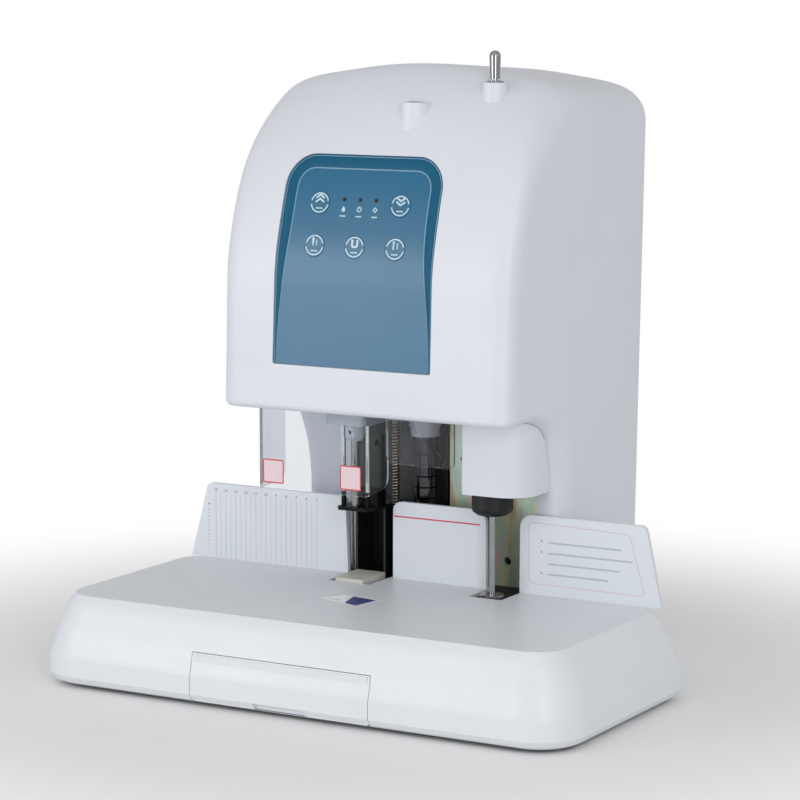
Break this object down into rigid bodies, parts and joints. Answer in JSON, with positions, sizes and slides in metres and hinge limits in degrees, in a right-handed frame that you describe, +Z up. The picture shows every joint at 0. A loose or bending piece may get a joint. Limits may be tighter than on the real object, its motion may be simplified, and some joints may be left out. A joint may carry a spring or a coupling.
{
  "type": "document riveting machine",
  "caption": "Desk machine with a flared base, a C-shaped body and a domed hood that drills a stack of paper and sets a plastic tube rivet in the hole.",
  "frame": {"origin": "centre of the bounding box at the floor, under the rubber feet", "axes": "+X to the user's right along the fences, +Y from the front of the machine to its back, +Z up"},
  "size_m": [0.4754, 0.3554, 0.5042],
  "materials": {
    "white_shell": "injection-moulded ABS, semi-gloss, very fine spark texture",
    "grey_liner": "light grey paint on steel sheet",
    "base_zinc": "galvanised sheet",
    "screw_steel": "zinc-plated screws",
    "rubber_feet": "matt black rubber",
    "black_frame": "black paint on steel",
    "yellow_zinc": "yellow chromated zinc plating",
    "bright_steel": "ground and polished steel",
    "dark_steel": "dark polished steel",
    "black_chute": "matt black plastic",
    "pad_plastic": "grey-beige nylon",
    "rear_cover_grey": "powder coat on steel sheet",
    "inlet_black": "black plastic with brass pins",
    "panel_blue": "screen-printed polycarbonate, gloss",
    "key_blue": "screen-printed polycarbonate, gloss",
    "led_lens": "dark tinted lens",
    "board_green": "glass-epoxy board",
    "toggle_chrome": "nickel-chromium plated brass",
    "toggle_case": "phenolic switch case",
    "clear_guard": "clear polycarbonate",
    "cast_alloy": "milled aluminium",
    "white_nylon": "white nylon",
    "bronze": "sintered bronze",
    "motor_steel": "drawn steel can",
    "turned_steel": "turned steel",
    "spring_steel": "spring wire",
    "head_black": "black oxide on steel",
    "transformer": "varnished iron laminations and winding"
  },
  "bodies": {
    "machine": {"base_shell": "white_shell", "body_shell": "white_shell", "fence_left": "white_shell", "fence_centre": "white_shell", "fence_right": "white_shell", "rivet_shroud": "white_shell", "throat_panel": "grey_liner", "base_plate": "base_zinc", "plate_screws": "screw_steel", "cover_screws": "screw_steel", "foot_front_left": "rubber_feet", "foot_front_right": "rubber_feet", "foot_rear_left": "rubber_feet", "foot_rear_right": "rubber_feet", "frame_bed": "black_frame", "bed_spacers": "black_frame", "frame_top": "black_frame", "drill_frame": "black_frame", "rivet_frame": "yellow_zinc", "guide_post": "bright_steel", "spring_post": "bright_steel", "guide_pin": "bright_steel", "anvil": "bright_steel", "rivet_post": "dark_steel", "chip_chute": "black_chute", "drill_pad": "pad_plastic", "rear_cover": "rear_cover_grey", "mains_inlet": "inlet_black", "control_panel": "panel_blue", "panel_lights": "led_lens", "key_board": "board_green", "main_board": "board_green", "toggle_bush": "toggle_chrome", "toggle_nut": "toggle_chrome", "toggle_body": "toggle_case", "drill_guard": "clear_guard", "rivet_guard": "clear_guard", "screw_bearing": "bronze", "feed_motor": "motor_steel", "ram_actuator": "turned_steel", "power_supply": "transformer"},
    "drawer": {"chip_drawer": "white_shell"},
    "carriage": {"drill_carriage": "cast_alloy", "drill_motor": "motor_steel", "screw_nut": "white_nylon", "return_spring": "spring_steel"},
    "press_foot": {"stripper_foot": "bright_steel"},
    "spindle": {"drill_chuck": "turned_steel", "drill_bit": "bright_steel"},
    "screw": {"feed_screw": "dark_steel"},
    "ram": {"rivet_ram": "turned_steel", "rivet_head": "head_black", "rivet_tip": "bright_steel"},
    "up_key": {"key_up": "key_blue"},
    "down_key": {"key_down": "key_blue"},
    "drill_key": {"key_drill": "key_blue"},
    "power_key": {"key_power": "key_blue"},
    "rivet_key": {"key_rivet": "key_blue"},
    "toggle": {"toggle_lever": "toggle_chrome"}
  },
  "joints": [
    {"name": "drawer_slide", "type": "slide", "parent": "machine", "child": "drawer", "axis": [0, -1, 0], "range_m": [0, 0.13]},
    {"name": "screw_turn", "type": "hinge", "parent": "machine", "child": "screw", "pos_m": [-0.005, 0.052, 0.2], "axis": [0, 0, 1], "range_deg": [-2125, 0]},
    {"name": "carriage_slide", "type": "slide", "parent": "machine", "child": "carriage", "axis": [0, 0, 1], "range_m": [-0.0536, 0], "deforming": ["return_spring"]},
    {"name": "foot_slide", "type": "slide", "parent": "carriage", "child": "press_foot", "axis": [0, 0, 1], "range_m": [0, 0.015], "stiffness_N_per_m": 300, "springref_m": -0.01},
    {"name": "spindle_spin", "type": "hinge", "parent": "carriage", "child": "spindle", "pos_m": [-0.0435, 0.004, 0.2], "axis": [0, 0, 1], "continuous": true},
    {"name": "ram_slide", "type": "slide", "parent": "machine", "child": "ram", "axis": [0, 0, 1], "range_m": [-0.062, 0]},
    {"name": "up_key_press", "type": "slide", "parent": "machine", "child": "up_key", "axis": [0, 0.9627, -0.2705], "range_m": [0, 0.0004], "stiffness_N_per_m": 900, "springref_m": -0.0003},
    {"name": "down_key_press", "type": "slide", "parent": "machine", "child": "down_key", "axis": [0, 0.9627, -0.2705], "range_m": [0, 0.0004], "stiffness_N_per_m": 900, "springref_m": -0.0003},
    {"name": "drill_key_press", "type": "slide", "parent": "machine", "child": "drill_key", "axis": [0, 0.9775, -0.2111], "range_m": [0, 0.0004], "stiffness_N_per_m": 900, "springref_m": -0.0003},
    {"name": "power_key_press", "type": "slide", "parent": "machine", "child": "power_key", "axis": [0, 0.9775, -0.2111], "range_m": [0, 0.0004], "stiffness_N_per_m": 900, "springref_m": -0.0003},
    {"name": "rivet_key_press", "type": "slide", "parent": "machine", "child": "rivet_key", "axis": [0, 0.9775, -0.2111], "range_m": [0, 0.0004], "stiffness_N_per_m": 900, "springref_m": -0.0003},
    {"name": "toggle_tilt", "type": "hinge", "parent": "machine", "child": "toggle", "pos_m": [0.0785, 0.0135, 0.4774], "axis": [1, 0, 0], "range_deg": [-12, 12]}
  ],
  "couplings": [
    {"joint": "screw_turn", "follows": "carriage_slide", "rad_per_m": 690.46}
  ]
}
